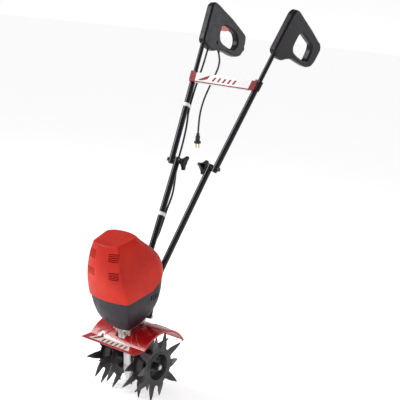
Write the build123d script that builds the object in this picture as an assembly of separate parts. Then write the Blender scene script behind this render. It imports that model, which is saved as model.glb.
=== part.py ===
from build123d import *
import os
from math import atan, cos, degrees, pi, radians, sin, sqrt, tan

# An electric garden tiller.  It is drawn in a design frame with the motor's axis upright
# and is then leaned forward into the stance in which it balances on its tines.
# Design frame, millimetres: X across the machine, Y towards the operator (the rear),
# Z up along the motor's axis, origin at the middle of the tine axle.
# Left and right are the operator's: the left hand is at +X, the right hand at -X.

# ---------------------------------------------------------------- driving dimensions
STANCE_LEAN = 16.0            # degrees that the motor's axis leans forward of vertical

# tines
TINE_TIP_RADIUS = 117.5
TINE_TEETH = 10
TOOTH_PHASE = -88.0           # direction of the lowest tooth, design frame, degrees
TINE_PLATE = 2.5              # thickness of the pressed star disc
TOOTH_ROOT_RADIUS = 62.0
TOOTH_BEND = 13.0             # sideways bend at the tip, alternately out and in
DISH_DEPTH = 18.0
OUTER_DISC_X = 101.0          # mid plane of the outer star disc
INNER_DISC_X = 47.0
HUB_RADIUS = 12.5
AXLE_RADIUS = 8.0
AXLE_HALF_LENGTH = 112.0
FIT = 0.06                    # radial clearance of every running fit

# worm drive
WHEEL_TEETH = 30
GEAR_MODULE = 1.25
WORM_PITCH_RADIUS = 6.5
WORM_LENGTH = 26.0
LEAD = pi * GEAR_MODULE       # single start
WHEEL_PITCH_RADIUS = WHEEL_TEETH * GEAR_MODULE / 2
CENTRE_DISTANCE = WORM_PITCH_RADIUS + WHEEL_PITCH_RADIUS
MOTOR_Y = -CENTRE_DISTANCE    # the worm and the motor stand in front of the axle
SHAFT_RADIUS = 4.5

# gear case
CASE_HALF_WIDTH = 16.0
CASE_TOP = 149.0
FLANGE = 8.0

# tine guard
GUARD_RADIUS = 129.0          # inside of the arch
GUARD_SHEET = 2.0
GUARD_HALF_WIDTH = 119.0
GUARD_REAR_ANGLE = 21.0       # degrees above the horizontal at the rear edge
GUARD_KINK_ANGLE = 126.0      # where the arch meets the front brim
GUARD_BRIM = 46.0
GUARD_BRIM_RISE = 10.0        # degrees

# housing: height, front half width, front y, front bulge, rear half width, shoulder y, rear y
BOWL_SECTIONS = (
    (149.0, 44.0, -62.0, 5.0, 46.0, 0.0, 26.0),
    (176.0, 63.0, -79.0, 8.0, 66.0, 14.0, 50.0),
    (220.0, 79.0, -90.0, 11.0, 85.0, 38.0, 80.0),
    (272.0, 87.0, -93.0, 12.0, 94.0, 50.0, 96.0),
)
COWL_SECTIONS = (
    (335.0, 82.0, -98.0, 12.0, 95.0, 56.0, 104.0),
    (400.0, 71.0, -94.0, 12.0, 87.0, 34.0, 76.0),
    (462.0, 56.0, -76.0, 10.0, 65.0, -8.0, 24.0),
    (510.0, 44.0, -58.0, 8.0, 50.0, -22.0, 2.0),
)
FRONT_CORNER = 9.0             # how far the front corners' rounding reaches
REAR_CORNER = 0.42             # the same at the rear, as a share of the half width
REAR_BOW = 5.0
BOWL_FLOOR = 153.5
LEDGE_BOTTOM = 186.0
LEDGE_TOP = 191.0
HOUSING_WALL = 3.0
BOWL_STEP = 3.0               # the bowl stands this far inside the cowl's lip
SPLIT_LINE = ((-160.0, 272.0), (24.0, 272.0), (62.0, 291.0), (150.0, 372.0))
ROOF_FRONT = (-74.0, 463.0)   # the sloping roof, (y, z) at the front and at the rear
ROOF_REAR = (16.0, 466.0)
SLOT_HEIGHT = 2.8
SLOT_PITCH = 5.5

# motor
STATOR_RADIUS = 46.0
STATOR_FOOT = 208.0
STATOR_HEIGHT = 72.0
ARMATURE_RADIUS = 23.0

# handles
TUBE_RADIUS = 10.5
TUBE_WALL = 1.5
GRIP_TUBE_RADIUS = 8.0
GRIP_TUBE_WALL = 1.3
HANDLE_PITCH = 48.7           # degrees above the horizontal, design frame
UPPER_SPLAY = 7.6             # degrees that the handles open outwards
LOWER_SPLAY = 5.8
FOLD_X = 96.0                 # the upper tube's axis at the fold bolt
FOLD_Y = 388.5
FOLD_Z = 571.0
FOLD_SPACER = 3.2             # plastic washer between the two tubes
TUBE_END = 12.0               # each tube runs this far past the fold bolt
BRACE_AT = 313.0              # distances along the upper handle from the fold bolt
UPPER_TUBE_END = 320.0
BRACE_HALF = 18.0             # half height of the brace plate
COLLAR_RADIUS = 13.6
GRIP_AT = 448.0
BOLT_RADIUS = 3.0

# grips
GRIP_HALF = 14.0              # half thickness of a grip
GRIP_WALL = 2.8


# ---------------------------------------------------------------- small shape helpers
def block(x0, x1, y0, y1, z0, z1):
    return Pos((x0 + x1) / 2, (y0 + y1) / 2, (z0 + z1) / 2) * Box(x1 - x0, y1 - y0, z1 - z0)


def rod_x(radius, x0, x1, y=0.0, z=0.0):
    return Pos((x0 + x1) / 2, y, z) * Rot(0, 90, 0) * Cylinder(radius, abs(x1 - x0))


def rod_z(radius, z0, z1, x=0.0, y=0.0):
    return Pos(x, y, (z0 + z1) / 2) * Cylinder(radius, abs(z1 - z0))


def tube_z(outer, inner, z0, z1, x=0.0, y=0.0):
    return rod_z(outer, z0, z1, x, y) - rod_z(inner, z0 - 1, z1 + 1, x, y)


def tube_x(outer, inner, x0, x1, y=0.0, z=0.0):
    return rod_x(outer, x0, x1, y, z) - rod_x(inner, min(x0, x1) - 1, max(x0, x1) + 1, y, z)


def rod_between(start, end, radius):
    a = Vector(*start)
    b = Vector(*end)
    plane = Plane(origin=a, z_dir=(b - a))
    return extrude(plane * Circle(radius), amount=(b - a).length)


def prism_x(points, x0, x1):
    face = make_face(Polyline(*points, close=True))
    return extrude(Plane.YZ.offset(x0) * face, amount=x1 - x0, dir=(1, 0, 0))


def lathe_x(points):
    # points are (x, radius) round the axle
    return revolve(make_face(Polyline(*points, close=True)), Axis.X, 360)


def mirror_x(shape):
    return mirror(shape, about=Plane.YZ)


def group(shapes):
    solids = []
    for shape in shapes:
        solids.extend(shape.solids())
    return Compound(solids)


def smooth_path(points, share=0.45):
    # straight runs joined by tangent arcs; each arc takes a share of its shorter run
    wire_points = [Vector(*p) for p in points]
    edges = []
    start = wire_points[0]
    for i in range(1, len(wire_points) - 1):
        corner = wire_points[i]
        back = (wire_points[i - 1] - corner)
        ahead = (wire_points[i + 1] - corner)
        reach = share * min(back.length, ahead.length)
        arc_in = corner + back.normalized() * reach
        arc_out = corner + ahead.normalized() * reach
        if (arc_in - start).length > 1e-6:
            edges.append(Line(start, arc_in))
        edges.append(TangentArc(arc_in, arc_out, tangent=(corner - arc_in).normalized()))
        start = arc_out
    edges.append(Line(start, wire_points[-1]))
    return Wire([e.edges()[0] for e in edges])


def pipe(points, radius, wall=0.0, share=0.45):
    path = smooth_path(points, share)
    plane = Plane(origin=path @ 0, z_dir=path % 0)
    solid = sweep(plane * Circle(radius), path=path)
    if wall:
        solid = solid - sweep(plane * Circle(radius - wall), path=path)
    return solid


def report_cord(name, points, solid):
    # arc radii along the cord, and its volume beside the section times the length
    radii = []
    for before, corner, after in zip(points, points[1:], points[2:]):
        back = Vector(*before) - Vector(*corner)
        ahead = Vector(*after) - Vector(*corner)
        reach = 0.45 * min(back.length, ahead.length)
        turn = radians(180 - back.get_angle(ahead))
        radii.append(round(reach / tan(turn / 2), 1))
    length = smooth_path(points).length
    print(name, "arc radii", radii, "length", round(length, 1))
    section = pi * CORD_RADIUS ** 2
    print(name, "volume", round(solid.volume, 1), "section x length", round(section * length, 1))


def upper_direction(side):
    pitch = radians(HANDLE_PITCH)
    splay = radians(UPPER_SPLAY)
    return Vector(side * sin(splay), cos(splay) * cos(pitch), cos(splay) * sin(pitch))


def lower_direction(side):
    pitch = radians(HANDLE_PITCH)
    splay = radians(LOWER_SPLAY)
    return Vector(side * sin(splay), cos(splay) * cos(pitch), cos(splay) * sin(pitch))


def upper_point(side, along):
    return Vector(side * FOLD_X, FOLD_Y, FOLD_Z) + upper_direction(side) * along


LOWER_X = FOLD_X - 2 * TUBE_RADIUS - FOLD_SPACER


def lower_point(side, along):
    return Vector(side * LOWER_X, FOLD_Y, FOLD_Z) + lower_direction(side) * along


def handle_plane(side, along):
    # local x up along the handle, local y out towards the operator, local z towards -X
    across = Vector(0, sin(radians(HANDLE_PITCH)), -cos(radians(HANDLE_PITCH)))
    direction = upper_direction(side)
    return Plane(origin=upper_point(side, along), x_dir=direction, z_dir=direction.cross(across))


parts = {}


# ---------------------------------------------------------------- tines and axle
def tooth(bend):
    # a pointed tooth: its outline seen along the axle, cut from a bent strip
    half = TOOTH_ROOT_RADIUS * sin(radians(14.0))
    outline = ((56.0, -half), (TOOTH_ROOT_RADIUS, -half), (90.0, -10.5), (TINE_TIP_RADIUS, -1.2),
               (TINE_TIP_RADIUS, 1.2), (90.0, 10.5), (TOOTH_ROOT_RADIUS, half), (56.0, half))
    flat = extrude(Plane.YZ.offset(-40) * make_face(Polyline(*outline, close=True)), amount=80)
    t = TINE_PLATE / 2
    strip = ((-t, 40.0), (-t, 74.0), (bend - t, 122.0), (bend + t, 122.0), (t, 74.0), (t, 40.0))
    bent = extrude(Plane.XY.offset(-40) * make_face(Polyline(*strip, close=True)), amount=80)
    return flat & bent


def star_wheel(disc_x, dish, hub_x0, hub_x1):
    # dish is +1 when the middle is pressed towards +X and -1 when it is pressed towards -X
    t = TINE_PLATE / 2
    floor = dish * DISH_DEPTH
    if dish > 0:
        high, low = 45.0, 47.0
    else:
        high, low = 47.0, 45.0
    profile = ((-t, 66.0), (t, 66.0), (t, 51.0), (2.6, 50.0), (2.6, low), (floor + t, low - 8.0),
               (floor + t, HUB_RADIUS - 1), (floor - t, HUB_RADIUS - 1),
               (floor - t, high - 8.0), (-2.6, high), (-2.6, 50.0), (-t, 51.0))
    disc = Pos(disc_x, 0, 0) * lathe_x(profile)
    disc = disc + rod_x(HUB_RADIUS, hub_x0, hub_x1)
    for k in range(TINE_TEETH):
        bend = TOOTH_BEND if k % 2 else -TOOTH_BEND
        disc = disc + Pos(disc_x, 0, 0) * Rot(TOOTH_PHASE + k * 360.0 / TINE_TEETH, 0, 0) * tooth(bend)
    for k in range(4):
        angle = radians(45 + 90 * k)
        disc = disc - rod_x(7.0, disc_x - 40, disc_x + 40, 25.5 * cos(angle), 25.5 * sin(angle))
    return disc - rod_x(AXLE_RADIUS, hub_x0 - 5, hub_x1 + 5)


OUTER_HUB = (72.0, 108.0)
INNER_HUB = (27.0, 70.0)
PIN_OUTER_X = 77.0
PIN_INNER_X = 33.0
pin_positions = (PIN_OUTER_X, PIN_INNER_X, -PIN_OUTER_X, -PIN_INNER_X)

axle = rod_x(AXLE_RADIUS, -AXLE_HALF_LENGTH, AXLE_HALF_LENGTH)
axle = chamfer(axle.edges(), 1.0)
outer_left = star_wheel(OUTER_DISC_X, -1, *OUTER_HUB)
inner_left = star_wheel(INNER_DISC_X, 1, *INNER_HUB)
for x in pin_positions:
    hole = Rot(TOOTH_PHASE, 0, 0) * rod_z(2.5, -30, 30, x, 0)
    axle = axle - hole
    outer_left = outer_left - hole
    inner_left = inner_left - hole
parts["tine_axle"] = axle
parts["tine_wheel_outer_left"] = outer_left
parts["tine_wheel_inner_left"] = inner_left
parts["tine_wheel_outer_right"] = mirror_x(outer_left)
parts["tine_wheel_inner_right"] = mirror_x(inner_left)


def hitch_pin(x):
    shank = rod_z(2.5, -15.5, 14.0, x, 0)
    head = rod_z(4.5, 14.0, 17.0, x, 0)
    return Rot(TOOTH_PHASE, 0, 0) * (shank + head)


parts["hitch_pins"] = group([hitch_pin(x) for x in pin_positions])


# ---------------------------------------------------------------- worm drive
def worm_wheel():
    tip = WHEEL_PITCH_RADIUS + GEAR_MODULE
    root = WHEEL_PITCH_RADIUS - 1.3 * GEAR_MODULE
    body = rod_x(root, -4, 4) + rod_x(13.0, -7, 7)
    half_pitch = 0.34 * GEAR_MODULE * 1.57
    flare = tan(radians(20)) * GEAR_MODULE
    outline = ((root - 1, -half_pitch - 1.4 * flare), (tip, -half_pitch + flare),
               (tip, half_pitch - flare), (root - 1, half_pitch + 1.4 * flare))
    face = make_face(Polyline(*outline, close=True))
    one = extrude(Plane.YZ.offset(-4) * face, amount=8)
    for k in range(WHEEL_TEETH):
        body = body + Rot(180 + k * 360.0 / WHEEL_TEETH, 0, 0) * one
    return body - rod_x(AXLE_RADIUS, -10, 10)


def worm():
    root = WORM_PITCH_RADIUS - 1.3 * GEAR_MODULE
    tip = WORM_PITCH_RADIUS + GEAR_MODULE
    half = 0.34 * GEAR_MODULE * 1.57
    flare = tan(radians(20)) * GEAR_MODULE
    helix = Helix(pitch=LEAD, height=WORM_LENGTH + 2 * LEAD, radius=WORM_PITCH_RADIUS)
    outline = ((root - 0.6 - WORM_PITCH_RADIUS, -half - 1.4 * flare),
               (tip - WORM_PITCH_RADIUS, -half + flare),
               (tip - WORM_PITCH_RADIUS, half - flare),
               (root - 0.6 - WORM_PITCH_RADIUS, half + 1.4 * flare))
    start = Plane(origin=helix @ 0, x_dir=(1, 0, 0), z_dir=helix % 0)
    section = start * make_face(Polyline(*outline, close=True))
    thread = sweep(section, path=helix, is_frenet=True)
    thread = Pos(0, 0, -8 * LEAD / 2) * Rot(0, 0, -90) * thread
    thread = thread & rod_z(20, -WORM_LENGTH / 2, WORM_LENGTH / 2)
    shaft = rod_z(root, -WORM_LENGTH / 2, WORM_LENGTH / 2) + rod_z(SHAFT_RADIUS, -23.5, 158.0)
    return Pos(0, MOTOR_Y, 0) * (shaft + thread)


parts["worm_wheel"] = worm_wheel()
parts["worm_shaft"] = worm()


# ---------------------------------------------------------------- gear case
def case_body():
    profile = ((-43.0, 136.0), (-41.5, 62.0), (-38.0, 40.0), (-44.5, -8.0), (-46.0, -30.0),
               (-16.0, -33.0), (4.0, -33.5), (20.0, -26.0), (29.0, -10.0), (29.0, 12.0),
               (20.0, 30.0), (6.0, 62.0), (4.0, 136.0))
    body = prism_x(profile, -CASE_HALF_WIDTH, CASE_HALF_WIDTH)
    side_edges = body.edges().filter_by(Axis.X, reverse=True)
    body = chamfer(side_edges, 3.0)
    nose_top = Pos(0, -27.0, -8.0) * Rectangle(2 * CASE_HALF_WIDTH, 36.0)
    nose_tip = Pos(0, -46.0, -69.0) * Rectangle(9.0, 11.0)
    nose = loft([nose_top.face(), nose_tip.face()])
    body = (body - block(-50, 50, -80, 60, -80, -34.0)) + nose
    body = body + rod_x(17.0, -24, 24)
    flange = block(-34, 34, -58, 46, CASE_TOP - FLANGE, CASE_TOP)
    flange = fillet(flange.edges().filter_by(Axis.Z), 10)
    body = body + flange + block(-CASE_HALF_WIDTH, CASE_HALF_WIDTH, -43, 4, 130, CASE_TOP - 1)
    for side in (-1, 1):
        body = body + rod_z(8.0, 106.0, CASE_TOP - 1, side * 8.0 + 0.0, -47.0)
    return body


WHEEL_CAVITY = WHEEL_PITCH_RADIUS + GEAR_MODULE + 1.2
case = case_body()
case = case - rod_x(WHEEL_CAVITY, -8, 8)
case = case - rod_z(WORM_PITCH_RADIUS + GEAR_MODULE + 0.9, -15, 17, 0, MOTOR_Y)
case = case - rod_z(9.0, -24.5, -14.5, 0, MOTOR_Y)
case = case - rod_z(11.0, 17.0, 27.0, 0, MOTOR_Y)
case = case - rod_z(7.0, 26.0, CASE_TOP + 1, 0, MOTOR_Y)
case = case - rod_z(11.0, 139.0, CASE_TOP + 1, 0, MOTOR_Y)
case = case - rod_x(11.0, -25, 25)
case = case - rod_x(13.0, 19.0, 25) - rod_x(13.0, -25, -19.0)
case_screw_spots = ((24.0, 14.0), (-31.0, -42.0), (2.0, 62.0), (-2.0, 118.0))
for y, z in case_screw_spots:
    case = case - rod_x(2.0, -CASE_HALF_WIDTH - 5, CASE_HALF_WIDTH + 5, y, z)
parts["gear_case_left"] = case & block(0, 80, -200, 200, -200, 300)
parts["gear_case_right"] = case & block(-80, 0, -200, 200, -200, 300)


def case_screw(y, z):
    shank = rod_x(2.0, -CASE_HALF_WIDTH + 1, CASE_HALF_WIDTH, y, z)
    head = rod_x(4.0, CASE_HALF_WIDTH, CASE_HALF_WIDTH + 3, y, z)
    return shank + head


parts["gear_case_screws"] = group([case_screw(y, z) for y, z in case_screw_spots])
bushing = tube_x(11.0, AXLE_RADIUS + FIT, 8.2, 19.0)
parts["axle_bushings"] = group([bushing, mirror_x(bushing)])
seal = tube_x(13.0, AXLE_RADIUS + FIT, 19.0, 24.0)
parts["axle_seals"] = group([seal, mirror_x(seal)])
parts["worm_bearings"] = group([
    tube_z(9.0, SHAFT_RADIUS + FIT, -23.5, -15.0, 0, MOTOR_Y),
    tube_z(11.0, SHAFT_RADIUS + FIT, 17.0, 26.0, 0, MOTOR_Y),
])
parts["shaft_seal"] = tube_z(11.0, SHAFT_RADIUS + FIT, 139.0, 146.0, 0, MOTOR_Y)


# ---------------------------------------------------------------- housing
def meet(p, p_dir, q, q_dir):
    # the point where the line through p and the line through q cross
    across = p_dir[0] * q_dir[1] - p_dir[1] * q_dir[0]
    step = ((q[0] - p[0]) * q_dir[1] - (q[1] - p[1]) * q_dir[0]) / across
    return (p[0] + step * p_dir[0], p[1] + step * p_dir[1])


def section_wire(section, inset):
    z, front_w, front_y, bulge, rear_w, shoulder_y, rear_y = section
    front_w = front_w - inset
    rear_w = rear_w - inset
    front_y = front_y + inset
    rear_y = rear_y - inset
    front_half = front_w - FRONT_CORNER
    rear_half = rear_w * (1 - REAR_CORNER)
    front_end = (front_half, front_y)
    side_start = (front_w, front_y + FRONT_CORNER)
    side_end = (rear_w, shoulder_y)
    rear_start = (rear_half, rear_y)
    side_dir = (side_end[0] - side_start[0], side_end[1] - side_start[1])
    front_corner = meet(front_end, (1, tan(2 * atan(bulge / front_half))), side_start, side_dir)
    rear_corner = meet(rear_start, (1, -tan(2 * atan(REAR_BOW / rear_half))), side_end, side_dir)

    def flip(point):
        return (-point[0], point[1])

    edges = [ThreePointArc(flip(front_end), (0, front_y - bulge), front_end),
             Bezier(front_end, front_corner, side_start),
             Line(side_start, side_end),
             Bezier(side_end, rear_corner, rear_start),
             ThreePointArc(rear_start, (0, rear_y + REAR_BOW), flip(rear_start)),
             Bezier(flip(rear_start), flip(rear_corner), flip(side_end)),
             Line(flip(side_end), flip(side_start)),
             Bezier(flip(side_start), flip(front_corner), flip(front_end))]
    return Pos(0, 0, z) * Wire([piece.edge() for piece in edges])


def envelope(sections, inset):
    faces = [Face(section_wire(s, inset)) for s in sections]
    return loft(faces)


def split_block(lift):
    # everything above the line where cowl and bowl meet, lifted by a gap
    points = [(y, z + lift) for y, z in SPLIT_LINE]
    points = points + [(150.0, 700.0), (-160.0, 700.0)]
    return prism_x(points, -200, 200)


def roof_cut(drop):
    slope = (ROOF_REAR[1] - ROOF_FRONT[1]) / (ROOF_REAR[0] - ROOF_FRONT[0])
    y0 = -200.0
    y1 = 200.0
    z0 = ROOF_FRONT[1] + slope * (y0 - ROOF_FRONT[0]) - drop
    z1 = ROOF_FRONT[1] + slope * (y1 - ROOF_FRONT[0]) - drop
    return prism_x(((y0, z0), (y1, z1), (y1, 900), (y0, 900)), -200, 200)


ALL_SECTIONS = BOWL_SECTIONS + COWL_SECTIONS


def vent_cutters():
    # four groups of slots through the front of the cowl
    cutters = []
    for side in (-1, 1):
        for k in range(5):
            z = 416.5 + k * SLOT_PITCH
            cutters.append(block(side * 45 - 17, side * 45 + 17, -130, -70, z, z + SLOT_HEIGHT))
        for k in range(5):
            z = 358.0 + k * SLOT_PITCH
            cutters.append(block(side * 49 - 18, side * 49 + 18, -130, -70, z, z + SLOT_HEIGHT))
    return cutters


def make_cowl():
    outer = (envelope(ALL_SECTIONS, 0.0) & split_block(0.0)) - roof_cut(0.0)
    roof = outer.faces().sort_by(Axis.Z)[-1]
    outer = fillet(roof.edges(), 7.0)
    inner = (envelope(ALL_SECTIONS, HOUSING_WALL)) - roof_cut(HOUSING_WALL)
    shell = outer - inner
    for cutter in vent_cutters():
        shell = shell - cutter
    return shell




def make_bowl():
    outer = envelope(ALL_SECTIONS, BOWL_STEP) - split_block(-0.0)
    inner = envelope(ALL_SECTIONS, BOWL_STEP + HOUSING_WALL)
    # the cavity is in two storeys: a ledge between them carries the motor's end plate
    shell = outer - (inner & block(-200, 200, -200, 200, BOWL_FLOOR, LEDGE_BOTTOM))
    shell = shell - (inner & block(-200, 200, -200, 200, LEDGE_TOP, 600))
    shell = shell - rod_z(40.0, LEDGE_BOTTOM - 1, LEDGE_TOP + 1, 0, MOTOR_Y)
    shell = shell - rod_z(11.0, 140, 160, 0, MOTOR_Y)
    # inlets low on both sides let the fan draw air
    for side in (-1, 1):
        for k in range(4):
            shell = shell - block(side * 60 - 30, side * 60 + 30, 18 + 9 * k, 22 + 9 * k, 236, 256)
    # hole for the supply cord at the back
    shell = shell - rod_between((-52, 30, 250), (-52, 130, 250), 4.2)
    return shell


parts["cowl"] = make_cowl()
parts["lower_housing"] = make_bowl()
housing_spots = ((24.0, -26.0), (-24.0, -26.0), (24.0, 11.0), (-24.0, 11.0))


def screw_up(x, y, z0, z1, shank=2.5, head=4.5):
    return rod_z(shank, z0, z1, x, y) + rod_z(head, z0 - 3.5, z0, x, y)


def screw_down(x, y, z0, z1, shank=2.5, head=4.5):
    return rod_z(shank, z0, z1, x, y) + rod_z(head, z1, z1 + 3.5, x, y)


# screws that hold the bowl on the gear case's flange
for x, y in housing_spots:
    hole = rod_z(2.5, 130, 160, x, y)
    parts["lower_housing"] = parts["lower_housing"] - hole
    parts["gear_case_left"] = parts["gear_case_left"] - hole
    parts["gear_case_right"] = parts["gear_case_right"] - hole
parts["housing_bolts"] = group([screw_up(x, y, CASE_TOP - FLANGE, 157.0) for x, y in housing_spots])


# ---------------------------------------------------------------- motor
parts["drive_coupling"] = tube_z(10.0, SHAFT_RADIUS, 150.0, 172.0, 0, MOTOR_Y)
plate = rod_z(52.0, 191.0, 195.0, 0, MOTOR_Y) + rod_z(13.0, 176.0, 194.0, 0, MOTOR_Y)
plate = plate - rod_z(11.0, 178.0, 200.0, 0, MOTOR_Y) - rod_z(7.0, 170.0, 200.0, 0, MOTOR_Y)
for k in range(6):
    angle = radians(60 * k)
    plate = plate - rod_z(9.0, 185, 200, 27 * cos(angle), MOTOR_Y + 27 * sin(angle))
motor_spots = [(46.0 * cos(radians(a)), MOTOR_Y + 46.0 * sin(radians(a))) for a in (45, 135, 225, 315)]
plate_holes = [rod_z(2.0, 180, 200, x, y) for x, y in motor_spots]
for hole in plate_holes:
    plate = plate - hole
    parts["lower_housing"] = parts["lower_housing"] - hole
parts["motor_end_plate"] = plate
parts["end_plate_screws"] = group([screw_down(x, y, 187.0, 195.0, 2.0, 3.8) for x, y in motor_spots])
parts["lower_bearing"] = tube_z(11.0, SHAFT_RADIUS + FIT, 178.5, 187.5, 0, MOTOR_Y)

STATOR_TOP = STATOR_FOOT + STATOR_HEIGHT
HEAD = STATOR_TOP + 57.0       # underside of the upper bearing bracket
stator = tube_z(STATOR_RADIUS, 24.0, STATOR_FOOT, STATOR_TOP, 0, MOTOR_Y)
for side in (-1, 1):
    pocket = block(side * 31 - 4, side * 31 + 4, MOTOR_Y - 19, MOTOR_Y + 19, STATOR_FOOT - 1, STATOR_TOP + 1)
    stator = stator - pocket
stator_spots = [(0.0, MOTOR_Y - 40.0), (0.0, MOTOR_Y + 40.0)]
for x, y in stator_spots:
    stator = stator - rod_z(2.2, 190, 310, x, y)
    parts["motor_end_plate"] = parts["motor_end_plate"] - rod_z(2.2, 190, 200, x, y)
parts["stator_core"] = stator


def coil(side):
    outer = block(side * 31 - 3.8, side * 31 + 3.8, MOTOR_Y - 18.6, MOTOR_Y + 18.6,
                  STATOR_FOOT - 7, STATOR_TOP + 7)
    outer = fillet(outer.edges().filter_by(Axis.X), 6)
    inner = block(side * 31 - 9, side * 31 + 9, MOTOR_Y - 11, MOTOR_Y + 11, STATOR_FOOT + 0, STATOR_TOP - 0)
    return outer - inner


coils = [coil(-1), coil(1)]
for c in coils:
    parts["stator_core"] = parts["stator_core"] - c
parts["field_windings"] = group(coils)
through = [rod_z(2.2, 191.5, STATOR_TOP + 10, x, y) + rod_z(4.2, STATOR_TOP + 7, STATOR_TOP + 10.5, x, y)
           for x, y in stator_spots]
posts = [tube_z(4.4, 2.2, 195.0, STATOR_FOOT, x, y) for x, y in stator_spots]
posts = posts + [tube_z(4.4, 2.2, STATOR_TOP, STATOR_TOP + 7, x, y) for x, y in stator_spots]
parts["stator_bolts"] = group(through)
parts["stator_spacers"] = group(posts)

armature = rod_z(ARMATURE_RADIUS, STATOR_FOOT + 2, STATOR_TOP - 2, 0, MOTOR_Y)
for k in range(12):
    angle = radians(30 * k + 15)
    slot = rod_z(1.6, 190, 300, 20.8 * cos(angle), MOTOR_Y + 20.8 * sin(angle))
    armature = armature - slot
armature = armature - rod_z(SHAFT_RADIUS, 180, 300, 0, MOTOR_Y)
parts["armature_core"] = armature
winding = tube_z(20.0, 7.0, STATOR_TOP - 2, STATOR_TOP + 9, 0, MOTOR_Y)
winding_low = tube_z(20.0, 7.0, STATOR_FOOT - 6, STATOR_FOOT + 2, 0, MOTOR_Y)
parts["armature_windings"] = group([fillet(winding.edges().group_by(Axis.Z)[-1], 4), winding_low])
parts["motor_shaft"] = rod_z(SHAFT_RADIUS, 158.0, HEAD + 20.0, 0, MOTOR_Y)
FAN_FOOT = STATOR_TOP + 11.0
fan = tube_z(9.0, SHAFT_RADIUS, FAN_FOOT, FAN_FOOT + 14, 0, MOTOR_Y)
fan = fan + tube_z(33.0, 8.0, FAN_FOOT, FAN_FOOT + 2, 0, MOTOR_Y)
for k in range(9):
    fan = fan + Pos(0, MOTOR_Y, 0) * Rot(0, 0, 40 * k) * block(8, 33, -0.8, 0.8, FAN_FOOT + 1, FAN_FOOT + 14)
parts["cooling_fan"] = fan
COMM_FOOT = FAN_FOOT + 18.0
commutator = tube_z(12.0, SHAFT_RADIUS, COMM_FOOT, COMM_FOOT + 22, 0, MOTOR_Y)
for k in range(12):
    bar_gap = block(11, 13, -0.4, 0.4, COMM_FOOT - 1, COMM_FOOT + 23)
    commutator = commutator - Pos(0, MOTOR_Y, 0) * Rot(0, 0, 30 * k) * bar_gap
parts["commutator"] = commutator
bracket = block(-46, 46, MOTOR_Y - 13, MOTOR_Y + 13, HEAD, HEAD + 4)
bracket = bracket + rod_z(13.5, HEAD, HEAD + 18, 0, MOTOR_Y)
bracket = bracket - rod_z(11.0, HEAD + 6, HEAD + 25, 0, MOTOR_Y) - rod_z(7.0, HEAD - 5, HEAD + 25, 0, MOTOR_Y)
bracket_posts = [(-40.0, MOTOR_Y), (40.0, MOTOR_Y)]
for x, y in bracket_posts:
    bracket = bracket - rod_z(2.2, HEAD - 5, HEAD + 10, x, y)
parts["upper_motor_bracket"] = bracket
parts["upper_bearing"] = tube_z(11.0, SHAFT_RADIUS + FIT, HEAD + 6.5, HEAD + 15.5, 0, MOTOR_Y)
parts["bracket_posts"] = group([
    rod_z(4.2, STATOR_TOP, HEAD, x, y) + rod_z(2.2, HEAD - 1, HEAD + 4, x, y)
    + rod_z(4.5, HEAD + 4, HEAD + 7, x, y)
    for x, y in bracket_posts])
brush_sets = []
holders = []
for side in (-1, 1):
    brush_sets.append(block(min(side * 12.3, side * 24), max(side * 12.3, side * 24),
                            MOTOR_Y - 3, MOTOR_Y + 3, COMM_FOOT + 7, COMM_FOOT + 16))
    tube = block(min(side * 14, side * 28), max(side * 14, side * 28), MOTOR_Y - 5, MOTOR_Y + 5,
                 COMM_FOOT + 5, HEAD)
    tube = tube - block(min(side * 13, side * 24.5), max(side * 13, side * 24.5),
                        MOTOR_Y - 3, MOTOR_Y + 3, COMM_FOOT + 7, COMM_FOOT + 16)
    holders.append(tube)
parts["carbon_brushes"] = group(brush_sets)
parts["brush_holders"] = group(holders)
parts["terminal_block"] = block(-18, 18, 40, 52, 270, 284)
parts["suppressor"] = rod_z(9.0, 236, 262, -28, 52)


# ---------------------------------------------------------------- tine guard
def guard_profile(outer):
    # the sheet's section across the machine: the rear arch and the front brim
    r = GUARD_RADIUS + (GUARD_SHEET if outer else 0.0)
    rear = radians(GUARD_REAR_ANGLE)
    kink = radians(GUARD_KINK_ANGLE)
    rise = radians(GUARD_BRIM_RISE)
    shift = GUARD_SHEET if outer else 0.0
    tip = (-GUARD_RADIUS * sin(kink - pi / 2) - GUARD_BRIM * cos(rise) - 0.3 * shift,
           GUARD_RADIUS * cos(kink - pi / 2) + GUARD_BRIM * sin(rise) + shift)
    return r, rear, kink, tip


def guard_solid():
    r0, rear, kink, tip0 = guard_profile(False)
    r1, rear, kink, tip1 = guard_profile(True)

    def at(r, a):
        return (r * cos(a), r * sin(a))

    mid = (rear + kink) / 2
    inner = ThreePointArc(at(r0, rear), at(r0, mid), at(r0, kink))
    outer = ThreePointArc(at(r1, rear), at(r1, mid), at(r1, kink))
    section = Wire([inner.edge(), Line(at(r0, kink), tip0).edge(), Line(tip0, tip1).edge(),
                    Line(tip1, at(r1, kink)).edge(), outer.edge(), Line(at(r1, rear), at(r0, rear)).edge()])
    face = Plane.YZ.offset(-GUARD_HALF_WIDTH) * Face(section)
    return extrude(face, amount=2 * GUARD_HALF_WIDTH, dir=(1, 0, 0))


guard = guard_solid()
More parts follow.
